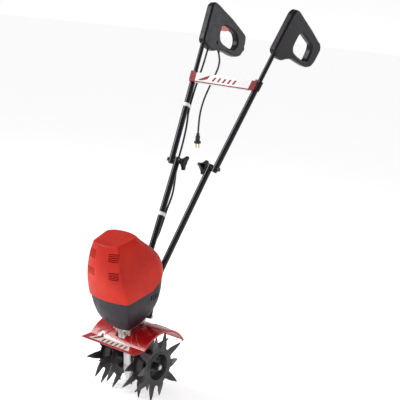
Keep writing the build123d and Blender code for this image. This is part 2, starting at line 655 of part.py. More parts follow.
# a rolled rim along both sides stiffens the sheet
for side in (-1, 1):
    lip_x = side * (GUARD_HALF_WIDTH - 1.5)
    inner_ring = tube_x(GUARD_RADIUS + 1, GUARD_RADIUS - 5, lip_x - 1.5, lip_x + 1.5)
    wedge = [(0, 0)]
    for a in range(int(GUARD_REAR_ANGLE), int(GUARD_KINK_ANGLE) + 1, 15):
        wedge.append((200 * cos(radians(a)), 200 * sin(radians(a))))
    guard = guard + (inner_ring & prism_x(wedge, -150, 150))
guard = guard - block(-20, 20, -62, 28, 90, 150)
guard_spots = ((-28.0, -41.0), (28.0, -41.0), (-28.0, 29.0), (28.0, 29.0))
guard_lugs = []
for x, y in guard_spots:
    top = sqrt((GUARD_RADIUS + GUARD_SHEET) ** 2 - (abs(y) - 7.0) ** 2)
    lug = rod_z(6.5, 112.0, CASE_TOP - FLANGE + 1, x, y) - rod_x(GUARD_RADIUS + GUARD_SHEET, -60, 60)
    guard_lugs.append(lug)
    hole = rod_z(2.5, 80, CASE_TOP - FLANGE - 1, x, y)
    guard = guard - hole
    for name in ("gear_case_left", "gear_case_right"):
        side = 1 if name.endswith("left") else -1
        half = block(min(0, 80 * side), max(0, 80 * side), -200, 200, -200, 300)
        parts[name] = (parts[name] + (lug & half)) - hole
parts["tine_guard"] = guard
parts["guard_bolts"] = group([screw_up(x, y, sqrt(GUARD_RADIUS ** 2 - (abs(y) + 4.5) ** 2) - 0.2, 138.0)
                              for x, y in guard_spots])


# ---------------------------------------------------------------- handles
LOWER_FOOT = ((27.0, 59.0, 136.0), (27.0, 66.0, 152.0))
LOWER_BEND_AT = -428.0        # where the lower handle bends down beside the housing


def lower_handle(side):
    foot = [(side * x, y, z) for x, y, z in LOWER_FOOT]
    bend = lower_point(side, LOWER_BEND_AT)
    top = lower_point(side, TUBE_END)
    return pipe(foot + [(bend.X, bend.Y, bend.Z), (top.X, top.Y, top.Z)], TUBE_RADIUS, TUBE_WALL, 0.3)


def across_hole(side, point, radius):
    return rod_x(radius, point.X - 30, point.X + 30, point.Y, point.Z)


bracket_bolt_spots = ((62.0, 143.5), (80.0, 185.2))
for side, name in ((1, "left"), (-1, "right")):
    lower = lower_handle(side)
    fold = lower_point(side, 0)
    lower = lower - across_hole(side, fold, BOLT_RADIUS)
    for y, z in bracket_bolt_spots:
        lower = lower - rod_x(2.5, side * 10, side * 50, y, z)
    parts["lower_handle_" + name] = lower
    upper_end = upper_point(side, UPPER_TUBE_END)
    tube = rod_between(upper_point(side, -TUBE_END), upper_end, TUBE_RADIUS)
    tube = tube - rod_between(upper_point(side, -TUBE_END - 1), upper_point(side, UPPER_TUBE_END + 1),
                              TUBE_RADIUS - TUBE_WALL)
    tube = tube - across_hole(side, upper_point(side, 0), BOLT_RADIUS + FIT)
    parts["upper_handle_" + name] = tube
    inner_tube = rod_between(upper_point(side, BRACE_AT - 40), upper_point(side, GRIP_AT + 120),
                             GRIP_TUBE_RADIUS)
    inner_tube = inner_tube - rod_between(upper_point(side, BRACE_AT - 50), upper_point(side, GRIP_AT + 130),
                                          GRIP_TUBE_RADIUS - GRIP_TUBE_WALL)
    parts["grip_tube_" + name] = inner_tube
    c0 = upper_point(side, UPPER_TUBE_END - 17)
    c1 = upper_point(side, UPPER_TUBE_END + 17)
    c2 = upper_point(side, UPPER_TUBE_END)
    seat = Plane(origin=c2, x_dir=(1, 0, 0), z_dir=upper_direction(side))
    collar = rod_between(c0, c1, COLLAR_RADIUS)
    outward = 1 if seat.y_dir.Z > 0 else -1
    pad = seat * (Pos(0, outward * COLLAR_RADIUS / 2, 0) * Box(18, COLLAR_RADIUS, 34))
    collar = collar + pad
    collar = collar - rod_between(c0 - (c1 - c0), c2, TUBE_RADIUS)
    collar = collar - rod_between(c2, c1 + (c1 - c0), GRIP_TUBE_RADIUS)
    parts["tube_collar_" + name] = collar
    inner_face = side * (LOWER_X - TUBE_RADIUS)
    outer_face = side * (FOLD_X + TUBE_RADIUS)
    bolt = rod_x(BOLT_RADIUS, inner_face - side * 23, outer_face + side * 1.8, FOLD_Y, FOLD_Z)
    bolt = bolt + rod_x(7.0, outer_face + side * 1.8, outer_face + side * 5.8, FOLD_Y, FOLD_Z)
    parts["fold_bolt_" + name] = bolt
    spacer = rod_x(7.0, side * (LOWER_X + TUBE_RADIUS - 1.5), side * (FOLD_X - TUBE_RADIUS - 1.35),
                   FOLD_Y, FOLD_Z)
    spacer = spacer - parts["lower_handle_" + name]
    spacer = spacer - rod_between(lower_point(side, -40), lower_point(side, 40), TUBE_RADIUS)
    spacer = spacer - rod_x(BOLT_RADIUS, side * 40, side * 140, FOLD_Y, FOLD_Z)
    parts["fold_spacer_" + name] = spacer
    # three-armed clamp knob on the inner side of the joint
    knob_out = inner_face - side * 1.2
    knob_in = inner_face - side * 26.0
    stem = rod_x(8.0, knob_out, knob_out - side * 9, FOLD_Y, FOLD_Z)
    body = rod_x(12.0, knob_out - side * 9, knob_in, FOLD_Y, FOLD_Z)
    wing = ((-10.5, 4.0), (-5.5, 20.0), (-4.2, 28.5), (4.2, 28.5), (5.5, 20.0), (10.5, 4.0))
    wing_x = inner_face - side * 18.5 - 5.5
    for k in range(3):
        arm = prism_x(wing, 0, 11)
        arm = fillet(arm.edges().group_by(Axis.Z)[-1], 2.5)
        body = body + Pos(wing_x, FOLD_Y, FOLD_Z) * Rot(120 * k + 50, 0, 0) * arm
    knob = stem + body
    knob = knob - rod_x(BOLT_RADIUS + FIT, inner_face + side * 5, inner_face - side * 23.4, FOLD_Y, FOLD_Z)
    parts["fold_knob_" + name] = knob


def saddle(side):
    # plastic seat between the lower handle and the knob, cut to the tube
    x0 = side * (LOWER_X - TUBE_RADIUS + 2.0)
    x1 = side * (LOWER_X - TUBE_RADIUS - 1.0)
    shape = rod_x(7.8, x1, x0, FOLD_Y, FOLD_Z)
    shape = shape - rod_between(lower_point(side, -40), lower_point(side, 40), TUBE_RADIUS)
    return shape - rod_x(BOLT_RADIUS, side * 20, side * 140, FOLD_Y, FOLD_Z)


parts["knob_seats"] = group([saddle(1), saddle(-1)])

# steel bracket that carries both lower handles
cheek = ((30.0, 134.5), (64.0, 134.5), (88.0, 182.0), (84.0, 197.0), (72.0, 197.0), (54.0, 150.0),
         (44.0, 138.0))
bracket = prism_x(cheek, 13.4, 16.4) + prism_x(cheek, -16.4, -13.4)
bracket = bracket + block(-16.4, 16.4, 22.0, 60.0, 134.5, 137.5)
web = ((64.0, 134.5), (88.0, 182.0), (85.3, 183.4), (60.4, 134.5))
bracket = bracket + prism_x(web, -16.4, 16.4)
for y, z in bracket_bolt_spots:
    bracket = bracket - rod_x(2.5, -30, 30, y, z)
for x in (-9.0, 9.0):
    bracket = bracket - rod_z(2.5, 130, 140, x, 34)
    for name in ("gear_case_left", "gear_case_right"):
        parts[name] = parts[name] - rod_z(2.5, 130, 155, x, 34)
bracket = bracket - parts["gear_case_left"] - parts["gear_case_right"]
parts["handle_bracket"] = bracket
parts["bracket_screws"] = group([screw_up(x, 34, 134.5, 146.0) for x in (-9.0, 9.0)])
lift = block(-14, 14, 24, 44, 137.5, CASE_TOP - FLANGE)
for x in (-9.0, 9.0):
    lift = lift - rod_z(2.5, 130, 150, x, 34)
parts["bracket_packer"] = lift
bolts = []
for y, z in bracket_bolt_spots:
    outer = LOWER_FOOT[0][0] + TUBE_RADIUS
    shank = rod_x(2.5, -outer - 3.2, outer + 3.2, y, z)
    ends = rod_x(5.0, outer + 1.4, outer + 5.4, y, z) + rod_x(5.0, -outer - 5.4, -outer - 1.4, y, z)
    bolts.append(shank + ends)
parts["handle_bolts"] = group(bolts)


# ---------------------------------------------------------------- cross brace
across_out = Vector(0, -sin(radians(HANDLE_PITCH)), cos(radians(HANDLE_PITCH)))
brace_centre = Vector(0, upper_point(1, BRACE_AT).Y, upper_point(1, BRACE_AT).Z)
brace_plane = Plane(origin=brace_centre + across_out * COLLAR_RADIUS, x_dir=(1, 0, 0), z_dir=across_out)
low_half = upper_point(1, BRACE_AT - BRACE_HALF).X + 5.0
high_half = upper_point(1, BRACE_AT + BRACE_HALF).X + 5.0
brace_face = Polyline((-low_half, -BRACE_HALF), (low_half, -BRACE_HALF), (high_half, BRACE_HALF),
                      (-high_half, BRACE_HALF), close=True)
brace = extrude(brace_plane * make_face(brace_face), amount=1.8, dir=across_out)
# a turned edge stiffens the plate's lower side
turned = brace_plane * (Pos(0, -BRACE_HALF + 1.0, -4.0) * Box(2 * low_half - 46, 2.0, 8.0))
brace = brace + turned
brace_screws = []
for side in (1, -1):
    name = "left" if side > 0 else "right"
    for step in (-8.0, 8.0):
        spot = upper_point(side, UPPER_TUBE_END - 3 + step)
        drill = rod_between(spot + across_out * 5, spot + across_out * 30, 1.6)
        brace = brace - drill
        parts["tube_collar_" + name] = parts["tube_collar_" + name] - drill
        parts["upper_handle_" + name] = parts["upper_handle_" + name] - drill
        parts["grip_tube_" + name] = parts["grip_tube_" + name] - drill
        shank = rod_between(spot + across_out * 6.0, spot + across_out * (COLLAR_RADIUS + 2.0), 1.6)
        under_head = spot + across_out * (COLLAR_RADIUS + 1.8)
        head = rod_between(under_head, under_head + across_out * 2.0, 3.4)
        brace_screws.append(shank + head)
parts["cross_brace"] = brace
parts["brace_screws"] = group(brace_screws)


# ---------------------------------------------------------------- grips
# outlines in the plane of each handle: distance up the handle, distance towards the operator
PLAIN_OUTLINE = ((0, -20), (150, -18), (168, -8), (173, 12), (166, 60), (158, 126), (149, 175),
                 (144, 208), (128, 221), (78, 220), (56, 212), (41, 190), (33, 150), (26, 95),
                 (10, 62), (-8, 40), (-10, 5))
PLAIN_HOLE = ((123, 70), (121, 100), (118, 135), (116, 162), (97, 171), (60, 174), (50, 152),
              (47, 112), (48, 82), (60, 68), (92, 66))
SWITCH_OUTLINE = ((4, -17), (150, -18), (168, -6), (171, 20), (168, 75), (167, 120), (161, 170),
                  (156, 205), (152, 232), (120, 240), (86, 237), (66, 228), (50, 205), (40, 172),
                  (34, 130), (20, 86), (0, 58), (-3, 20))
SWITCH_HOLE = ((108, 70), (122, 92), (127, 130), (127, 168), (112, 185), (90, 189), (66, 178),
               (56, 146), (52, 105), (56, 82), (74, 71))


def closed_outline(points, share=0.4):
    # straight runs joined by tangent arcs, all the way round
    corners = [Vector(p[0], p[1], 0) for p in points]
    count = len(corners)
    spans = []
    for i in range(count):
        back = corners[i - 1] - corners[i]
        ahead = corners[(i + 1) % count] - corners[i]
        reach = share * min(back.length, ahead.length)
        spans.append((corners[i] + back.normalized() * reach, corners[i] + ahead.normalized() * reach))
    edges = []
    for i in range(count):
        arc_in, arc_out = spans[i]
        edges.append(TangentArc(arc_in, arc_out, tangent=(corners[i] - arc_in).normalized()).edge())
        edges.append(Line(arc_out, spans[(i + 1) % count][0]).edge())
    return Wire(edges)


def loop_face(outline, hole, inset):
    outer = make_face(closed_outline(outline))
    inner = make_face(closed_outline(hole))
    if inset:
        outer = offset(outer, -inset)
        inner = offset(inner, inset)
    return outer - inner


def grip_halves(outline, hole):
    face = loop_face(outline, hole, 0.0)
    whole = extrude(face, amount=GRIP_HALF, both=True)
    rims = whole.edges().group_by(Axis.Z)[0] + whole.edges().group_by(Axis.Z)[-1]
    whole = fillet(rims, 7.0)
    core = extrude(loop_face(outline, hole, GRIP_WALL), amount=GRIP_HALF - GRIP_WALL, both=True)
    shell = whole - core
    socket = Rot(0, 90, 0) * Cylinder(GRIP_TUBE_RADIUS, 300)
    for u in (8, 60, 112):
        shell = shell + ((Pos(u, 0, 0) * Box(6, 60, 2 * GRIP_HALF - 2)) & core)
    return shell - socket


GRIP_SCREWS = ((34.0, 54.0), (150.0, 20.0), (140.0, 196.0), (62.0, 192.0))


def finish_grip(shell, spots):
    for u, w in spots:
        shell = shell + Pos(u, w, 0) * Cylinder(4.6, 2 * GRIP_HALF - 2)
    for u, w in spots:
        shell = shell - Pos(u, w, 0) * Cylinder(2.0, 2 * GRIP_HALF - 6)
        shell = shell - Pos(u, w, GRIP_HALF) * Cylinder(3.6, 8)
    return shell


def grip_screw(u, w):
    return Pos(u, w, 0) * Cylinder(2.0, 2 * GRIP_HALF - 6) + Pos(u, w, GRIP_HALF - 3.0) * Cylinder(3.4, 2.0)


upper_half = Pos(0, 0, 50) * Box(900, 900, 100)
lower_half = Pos(0, 0, -50) * Box(900, 900, 100)
left_plane = handle_plane(1, GRIP_AT)
right_plane = handle_plane(-1, GRIP_AT)

plain = finish_grip(grip_halves(PLAIN_OUTLINE, PLAIN_HOLE), GRIP_SCREWS)
parts["plain_grip_inner_shell"] = left_plane * (plain & upper_half)
parts["plain_grip_outer_shell"] = left_plane * (plain & lower_half)
parts["plain_grip_screws"] = left_plane * group([grip_screw(u, w) for u, w in GRIP_SCREWS])

TRIGGER_PIVOT = (129.0, 64.0)
SWITCH_SCREWS = ((34.0, 56.0), (152.0, 24.0), (142.0, 205.0), (66.0, 196.0))
switch = finish_grip(grip_halves(SWITCH_OUTLINE, SWITCH_HOLE), SWITCH_SCREWS)
switch = switch - Pos(115, 91, 0) * Box(40, 68, 13.0)
pivot_boss = Pos(TRIGGER_PIVOT[0], TRIGGER_PIVOT[1], 0) * Cylinder(4.6, 2 * GRIP_HALF - 2)
pivot_boss = pivot_boss - Pos(TRIGGER_PIVOT[0], TRIGGER_PIVOT[1], 0) * Cylinder(9, 13.0)
switch = switch + pivot_boss
switch = switch - Pos(TRIGGER_PIVOT[0], TRIGGER_PIVOT[1], 0) * Cylinder(2.0, 2 * GRIP_HALF - 6)
button_spot = (140.0, 46.0)
switch = switch - Pos(button_spot[0], button_spot[1], GRIP_HALF) * Cylinder(7.06, 12)
switch = switch - Pos(14, 0, 0) * Pos(-20, 36, 0) * Rot(0, 90, 0) * Cylinder(3.6, 60)
relief_from = Vector(-151.0, 756.5, 888.0)
relief_to = Vector(-151.0, 765.5, 851.0)
relief_bore = rod_between(relief_from + (relief_from - relief_to) * 0.3, relief_to, 6.0)
parts["switch_grip_outer_shell"] = (right_plane * (switch & upper_half)) - relief_bore
parts["switch_grip_inner_shell"] = (right_plane * (switch & lower_half)) - relief_bore
parts["switch_grip_screws"] = right_plane * group([grip_screw(u, w) for u, w in SWITCH_SCREWS])
lever = ((124.0, 60.0), (133.0, 60.0), (134.0, 72.0), (131.0, 118.0), (125.0, 121.0), (114.0, 119.0),
         (106.0, 106.0), (99.0, 86.0), (104.0, 74.0), (117.0, 66.0))
trigger = extrude(make_face(Polyline(*lever, close=True)), amount=6.0, both=True)
trigger = trigger - Pos(TRIGGER_PIVOT[0], TRIGGER_PIVOT[1], 0) * Cylinder(2.0 + FIT, 40)
parts["trigger"] = right_plane * trigger
pivot = Pos(TRIGGER_PIVOT[0], TRIGGER_PIVOT[1], 0)
parts["trigger_pin"] = right_plane * pivot * Cylinder(2.0, 2 * GRIP_HALF - 6)
module = Pos(147, 101, 0) * Box(12, 30, 20) + Pos(156, 101, 0) * Box(6, 40, 16)
parts["switch_module"] = right_plane * module
button = Cylinder(7.0, 8.0) + Pos(0, 0, -5.5) * Cylinder(9.0, 3.0)
button = Pos(button_spot[0], button_spot[1], GRIP_HALF - 1.5) * button
parts["lock_off_button"] = right_plane * button


def coil_spring(radius, wire, height, turns):
    helix = Helix(pitch=height / turns, height=height, radius=radius)
    return sweep(Plane(origin=helix @ 0, z_dir=helix % 0) * Circle(wire), path=helix)


parts["trigger_spring"] = right_plane * pivot * Pos(0, 0, 7.0) * coil_spring(5.4, 0.5, 3.4, 3)


# ---------------------------------------------------------------- cords
CORD_RADIUS = 3.5
# the short supply lead hangs free from the right hand grip: (x, y, z) in the design frame
LEAD_ROUTE = ((-151.0, 769.64, 834.0), (-151.5, 762.0, 803.0), (-151.5, 741.0, 780.0),
              (-151.0, 701.0, 745.5), (-150.0, 658.0, 706.0), (-149.5, 628.5, 663.0),
              (-149.5, 613.0, 614.0), (-149.5, 603.5, 572.0))
down = (relief_to - relief_from).normalized()
upright = (Align.CENTER, Align.CENTER, Align.MIN)
relief = Plane(origin=relief_from, z_dir=down) * Cone(5.9, 4.6, 36, align=upright)
relief = relief - rod_between(relief_from - down * 5, relief_to + down * 5, CORD_RADIUS)
parts["strain_relief"] = relief
inside = relief_from - down * 2.0
lead_points = [(inside.X, inside.Y, inside.Z)] + list(LEAD_ROUTE)
parts["supply_lead"] = pipe(lead_points, CORD_RADIUS)
plug_dir = (Vector(*LEAD_ROUTE[-1]) - Vector(*LEAD_ROUTE[-2])).normalized()
plug_top = Vector(*LEAD_ROUTE[-1]) - plug_dir * 8.0
plug_plane = Plane(origin=plug_top, x_dir=(1, 0, 0), z_dir=plug_dir)
plug = plug_plane * (Pos(0, 0, 10) * Cylinder(8.5, 20) + Pos(0, 0, 24) * Cylinder(12.5, 8)
                     + Pos(0, 0, -4) * Cylinder(6.0, 10))
plug = plug - rod_between(plug_top - plug_dir * 12, plug_top + plug_dir * 8, CORD_RADIUS)
prongs = []
for offset_x in (-6.3, 6.3):
    prongs.append(plug_plane * Pos(offset_x, -1.5, 34) * Box(1.5, 6.3, 20))
prongs.append(plug_plane * Pos(0, 8.0, 34) * Cylinder(2.4, 20))
for prong in prongs:
    plug = plug - prong
parts["plug_body"] = plug
parts["plug_prongs"] = group(prongs)

# the motor's cord follows the right handle down to the housing
UPPER_CLIP_AT = 208.0
LOWER_CLIP_AT = -197.0


behind = Vector(0, sin(radians(HANDLE_PITCH)), -cos(radians(HANDLE_PITCH)))


def beside_upper(along, inward, rearward):
    return upper_point(-1, along) + Vector(inward, 0, 0) + behind * rearward


def beside_lower(along, inward, rearward):
    return lower_point(-1, along) + Vector(inward, 0, 0) + behind * rearward


def xyz(v):
    return (v.X, v.Y, v.Z)


grip_exit = right_plane.from_local_coords(Vector(18.0, 36.0, 0.0))
grip_below = right_plane.from_local_coords(Vector(-40.0, 36.0, 0.0))
CLIP_IN = 7.0                 # the cord sits behind and a little inside the tube
CLIP_BACK = 12.4
upper_route = [xyz(grip_exit), xyz(grip_below), xyz(beside_upper(345.0, 6.0, 23.0)),
               xyz(beside_upper(270.0, CLIP_IN, 14.0)), xyz(beside_upper(UPPER_CLIP_AT + 14, CLIP_IN, CLIP_BACK)),
               xyz(beside_upper(UPPER_CLIP_AT - 22, CLIP_IN, CLIP_BACK)),
               xyz(beside_upper(140.0, 13.0, 16.0)), xyz(beside_upper(75.0, 12.0, 22.0)),
               xyz(beside_upper(15.0, 10.0, 23.0))]
lower_route = [xyz(beside_upper(-15.0, 10.0, 23.0)), xyz(beside_lower(-62.0, -4.0, 25.0)),
               xyz(beside_lower(-120.0, 6.0, 23.0)), xyz(beside_lower(LOWER_CLIP_AT + 22, CLIP_IN, CLIP_BACK)),
               xyz(beside_lower(LOWER_CLIP_AT - 22, CLIP_IN, CLIP_BACK)),
               xyz(beside_lower(-285.0, -2.0, 18.0)), (-58.0, 174.0, 314.0), (-54.0, 140.0, 272.0),
               (-52.0, 110.0, 250.0), (-52.0, 62.0, 250.0)]
parts["motor_cord_upper"] = pipe(upper_route, CORD_RADIUS)
parts["motor_cord_lower"] = pipe(lower_route, CORD_RADIUS)
gland = rod_between((-52, 66, 250), (-52, 86, 250), 8.0) + rod_between((-52, 86, 250), (-52, 94, 250), 5.5)
gland = gland - rod_between((-52, 50, 250), (-52, 130, 250), CORD_RADIUS)
gland = gland - (envelope(ALL_SECTIONS, BOWL_STEP) & block(-100, 100, -100, 150, 200, 271))
parts["cord_gland"] = gland
report_cord("supply_lead", lead_points, parts["supply_lead"])
report_cord("motor_cord_upper", upper_route, parts["motor_cord_upper"])
report_cord("motor_cord_lower", lower_route, parts["motor_cord_lower"])


def clip(centre, cord, direction):
    a = centre - direction * 6.0
    b = centre + direction * 6.0
    shape = rod_between(a, b, TUBE_RADIUS + 1.6)
    shape = shape + rod_between(cord - direction * 6, cord + direction * 6, CORD_RADIUS + 1.6)
    shape = shape - rod_between(a - direction * 9, b + direction * 9, TUBE_RADIUS)
    return shape - rod_between(cord - direction * 16, cord + direction * 16, CORD_RADIUS)


parts["cord_clip_upper"] = clip(upper_point(-1, UPPER_CLIP_AT), beside_upper(UPPER_CLIP_AT, CLIP_IN, CLIP_BACK),
                                upper_direction(-1))
parts["cord_clip_lower"] = clip(lower_point(-1, LOWER_CLIP_AT), beside_lower(LOWER_CLIP_AT, CLIP_IN, CLIP_BACK),
                                lower_direction(-1))
for name in ("cord_clip_upper", "cord_clip_lower"):
    parts[name] = parts[name] - parts["motor_cord_" + name.split("_")[-1]]
parts["cord_hook"] = right_plane * (
    (Pos(104, 238, 0) * Cylinder(13, 10)) - (Pos(104, 243, 0) * Cylinder(8, 12)) - (switch))


# ---------------------------------------------------------------- nodes that hold several like pieces
def collect(node, members):
    shapes = []
    for member in members:
        shapes.append(parts.pop(member))
    parts[node] = group(shapes)


collect("base_fasteners", ("gear_case_screws", "housing_bolts", "guard_bolts", "bracket_screws", "handle_bolts"))
collect("motor_fasteners", ("stator_bolts", "end_plate_screws", "stator_spacers", "bracket_posts"))
collect("bearings", ("worm_bearings", "lower_bearing", "upper_bearing"))
collect("oil_seals", ("axle_seals", "shaft_seal"))
collect("armature", ("armature_core", "armature_windings"))
collect("brush_gear", ("carbon_brushes", "brush_holders"))
collect("electrical_block", ("terminal_block", "suppressor"))
collect("handle_bracket", ("handle_bracket", "bracket_packer"))
collect("lower_handles", ("lower_handle_left", "lower_handle_right"))
collect("upper_handles", ("upper_handle_left", "upper_handle_right"))
collect("grip_tubes", ("grip_tube_left", "grip_tube_right"))
collect("tube_collars", ("tube_collar_left", "tube_collar_right"))
collect("fold_bolts", ("fold_bolt_left", "fold_bolt_right"))
collect("fold_washers", ("fold_spacer_left", "fold_spacer_right", "knob_seats"))
collect("grip_screws", ("plain_grip_screws", "switch_grip_screws"))


# ---------------------------------------------------------------- place and write
def place(shape):
    return Rot(STANCE_LEAN, 0, 0) * shape


CORD_NODES = ("supply_lead", "plug_body", "plug_prongs")
placed = {}
for name, shape in parts.items():
    placed[name] = place(shape)
boxes = [shape.bounding_box() for name, shape in placed.items() if name not in CORD_NODES]
low_x = min(b.min.X for b in boxes)
high_x = max(b.max.X for b in boxes)
low_y = min(b.min.Y for b in boxes)
high_y = max(b.max.Y for b in boxes)
low_z = min(b.min.Z for b in boxes)
shift = Pos(-(low_x + high_x) / 2, -(low_y + high_y) / 2, -low_z)
print("origin shift", -(low_x + high_x) / 2, -(low_y + high_y) / 2, -low_z)
os.makedirs("parts", exist_ok=True)
for name, shape in placed.items():
    moved = shift * shape
    solids = moved.solids()
    if len(solids) > 1:
        moved = Compound(solids)
    else:
        moved = solids[0]
    moved.label = name
    export_step(moved, "parts/" + name + ".step")
print("nodes", len(placed))
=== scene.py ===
import math

import bmesh
import bpy
from mathutils import Matrix, Vector

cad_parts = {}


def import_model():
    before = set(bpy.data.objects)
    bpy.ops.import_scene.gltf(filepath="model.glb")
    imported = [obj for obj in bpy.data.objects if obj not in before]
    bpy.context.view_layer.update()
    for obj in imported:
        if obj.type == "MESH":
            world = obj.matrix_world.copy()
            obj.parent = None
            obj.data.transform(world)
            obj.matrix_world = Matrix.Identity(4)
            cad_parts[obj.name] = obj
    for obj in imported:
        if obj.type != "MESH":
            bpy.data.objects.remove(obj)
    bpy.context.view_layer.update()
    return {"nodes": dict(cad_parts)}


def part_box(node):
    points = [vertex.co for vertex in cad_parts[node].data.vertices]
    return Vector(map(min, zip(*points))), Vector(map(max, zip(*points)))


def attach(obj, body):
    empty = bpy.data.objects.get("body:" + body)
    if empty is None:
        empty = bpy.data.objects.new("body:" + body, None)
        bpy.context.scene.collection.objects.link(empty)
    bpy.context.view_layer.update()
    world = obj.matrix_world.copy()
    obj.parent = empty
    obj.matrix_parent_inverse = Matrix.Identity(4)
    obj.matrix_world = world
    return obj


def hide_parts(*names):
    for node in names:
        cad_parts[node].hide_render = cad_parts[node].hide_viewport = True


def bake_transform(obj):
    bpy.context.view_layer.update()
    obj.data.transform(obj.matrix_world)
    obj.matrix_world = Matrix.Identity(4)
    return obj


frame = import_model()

# ---------------------------------------------------------------- places taken from the CAD
STANCE = math.radians(16.0)          # forward lean of the motor's axis
PICTURE_LEAN = math.radians(9.0)     # the picture's upright leans this much against the ground's


def middle(node):
    low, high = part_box(node)
    return (Vector(low) + Vector(high)) / 2


AXLE = middle("tine_axle")


def world(x, y, z):
    """A point of the design frame (millimetres, motor axis upright) in the row frame."""
    p = Matrix.Rotation(STANCE, 4, "X") @ Vector((x, y, z))
    return AXLE + p / 1000.0


# ---------------------------------------------------------------- camera, in the picture's own upright frame
VIEW_AZIMUTH = math.radians(38.35)
VIEW_ELEVATION = math.radians(17.61)
VIEW_TARGET = Vector((0.27988, 0.0, 0.61878))    # metres from the axle
VIEW_DISTANCE = 3.17766
SENSOR_WIDTH = 36.0
LENS = 93.75


def make_camera():
    flat = math.cos(VIEW_ELEVATION)
    back = Vector((math.sin(VIEW_AZIMUTH) * flat, -math.cos(VIEW_AZIMUTH) * flat,
                   math.sin(VIEW_ELEVATION)))
    right = Vector((math.cos(VIEW_AZIMUTH), math.sin(VIEW_AZIMUTH), 0.0))
    up = back.cross(right)
    lean = Matrix.Rotation(PICTURE_LEAN, 3, "X")
    place = AXLE + lean @ (VIEW_TARGET + back * VIEW_DISTANCE)
    axes = Matrix((lean @ right, lean @ up, lean @ back)).transposed()
    data = bpy.data.cameras.new("camera")
    data.sensor_width = SENSOR_WIDTH
    data.lens = LENS
    data.clip_end = 50.0
    camera = bpy.data.objects.new("camera", data)
    bpy.context.scene.collection.objects.link(camera)
    camera.matrix_world = Matrix.Translation(place) @ axes.to_4x4()
    bpy.context.scene.camera = camera


make_camera()


# ---------------------------------------------------------------- materials
def new_material(name):
    m = bpy.data.materials.new(name)
    m.use_nodes = True
    nodes = m.node_tree.nodes
    bsdf = nodes.get("Principled BSDF")
    return m, nodes, m.node_tree.links, bsdf


def coords(nodes):
    return nodes.new("ShaderNodeTexCoord").outputs["Object"]


def noise(nodes, links, scale, detail=3.0, rough=0.55, vector=None):
    n = nodes.new("ShaderNodeTexNoise")
    n.inputs["Scale"].default_value = scale
    n.inputs["Detail"].default_value = detail
    n.inputs["Roughness"].default_value = rough
    links.new(vector if vector is not None else coords(nodes), n.inputs["Vector"])
    return n.outputs["Fac"]


def ramp(nodes, links, source, stops):
    r = nodes.new("ShaderNodeValToRGB")
    r.color_ramp.elements[0].position = stops[0][0]
    r.color_ramp.elements[0].color = (*stops[0][1], 1)
    r.color_ramp.elements[1].position = stops[-1][0]
    r.color_ramp.elements[1].color = (*stops[-1][1], 1)
    for position, colour in stops[1:-1]:
        e = r.color_ramp.elements.new(position)
        e.color = (*colour, 1)
    links.new(source, r.inputs["Fac"])
    return r.outputs["Color"]


def span(nodes, links, source, low, high, out_low, out_high):
    r = nodes.new("ShaderNodeMapRange")
    r.inputs["From Min"].default_value = low
    r.inputs["From Max"].default_value = high
    r.inputs["To Min"].default_value = out_low
    r.inputs["To Max"].default_value = out_high
    links.new(source, r.inputs["Value"])
    return r.outputs["Result"]


def bump(nodes, links, bsdf, source, strength, distance):
    b = nodes.new("ShaderNodeBump")
    b.inputs["Strength"].default_value = strength
    b.inputs["Distance"].default_value = distance
    links.new(source, b.inputs["Height"])
    links.new(b.outputs["Normal"], bsdf.inputs["Normal"])


def moulded(name, dark, light, rough=0.35, coat=0.0, coat_rough=0.1, grain=900.0, grain_depth=0.0001,
            metallic=0.0, blotch=9.0, specular=0.5, rough_spread=0.08):
    """Moulded plastic or paint: slow colour drift, uneven gloss and a fine grain."""
    m, nodes, links, bsdf = new_material(name)
    slow = noise(nodes, links, blotch, 4.0)
    links.new(ramp(nodes, links, slow, ((0.35, dark), (0.65, light))), bsdf.inputs["Base Color"])
    links.new(span(nodes, links, noise(nodes, links, blotch * 5, 5.0), 0.3, 0.7, rough - rough_spread,
                   rough + rough_spread), bsdf.inputs["Roughness"])
    bsdf.inputs["Metallic"].default_value = metallic
    bsdf.inputs["Coat Weight"].default_value = coat
    bsdf.inputs["Coat Roughness"].default_value = coat_rough
    bsdf.inputs["Specular IOR Level"].default_value = specular
    bump(nodes, links, bsdf, noise(nodes, links, grain, 2.0), 0.35, grain_depth)
    return m


def metal(name, dark, light, rough=0.35, scale=60.0, stretch=(1, 1, 12), grain_depth=0.0002, spread=0.12):
    """Bare or plated metal with drawn grain and a patchy sheen."""
    m, nodes, links, bsdf = new_material(name)
    mapping = nodes.new("ShaderNodeMapping")
    mapping.inputs["Scale"].default_value = stretch
    links.new(coords(nodes), mapping.inputs["Vector"])
    drawn = noise(nodes, links, scale, 6.0, 0.6, mapping.outputs["Vector"])
    links.new(ramp(nodes, links, drawn, ((0.3, dark), (0.7, light))), bsdf.inputs["Base Color"])
    links.new(span(nodes, links, drawn, 0.3, 0.7, rough - spread, rough + spread), bsdf.inputs["Roughness"])
    bsdf.inputs["Metallic"].default_value = 1.0
    bump(nodes, links, bsdf, drawn, 0.4, grain_depth)
    return m


